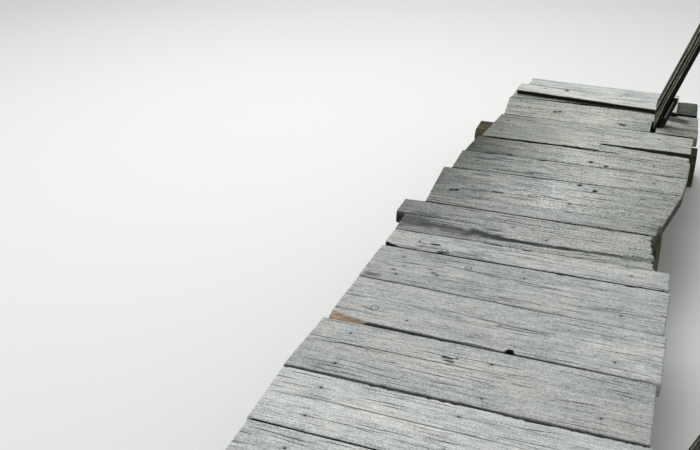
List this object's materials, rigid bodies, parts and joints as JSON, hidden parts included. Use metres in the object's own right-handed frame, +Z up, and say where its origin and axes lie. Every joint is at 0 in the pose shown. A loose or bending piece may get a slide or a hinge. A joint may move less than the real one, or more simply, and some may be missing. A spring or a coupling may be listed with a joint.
{
  "type": "wooden footbridge",
  "caption": "Small weathered timber footbridge: boards laid across hewn logs on two sills, with a handrail on leaning posts along one side.",
  "frame": {"origin": "middle of the underside of the near sill, on the ground", "axes": "+Y along the bridge from the near sill to the far sill, +X across the deck towards the handrail, +Z up"},
  "size_m": [1.1268, 3.6119, 1.256],
  "materials": {
    "deck_board": "silver-grey weathered softwood, open grain, matt",
    "threshold_board": "pale bleached softwood, matt",
    "log": "dark damp log with bark remains, matt",
    "sill": "dark damp squared timber, matt",
    "post": "dark deeply grooved old timber with moss at the foot, matt",
    "rail": "dark grey weathered timber, worn smoother on top"
  },
  "bodies": {
    "root": {"board_01": "deck_board", "board_02": "deck_board", "board_03": "deck_board", "board_04": "deck_board", "board_05": "deck_board", "board_06": "deck_board", "board_07": "deck_board", "board_08": "deck_board", "board_09": "deck_board", "board_10": "deck_board", "board_11": "deck_board", "board_12": "deck_board", "board_13": "deck_board", "board_14": "deck_board", "board_15": "deck_board", "board_16": "deck_board", "board_17": "deck_board", "threshold_near": "threshold_board", "threshold_far": "threshold_board", "log_left": "log", "log_middle": "log", "log_right": "log", "sill_near": "sill", "sill_far": "sill", "post_near": "post", "post_far": "post", "cleat_near": "post", "cleat_far": "post", "handrail": "rail"}
  },
  "joints": []
}
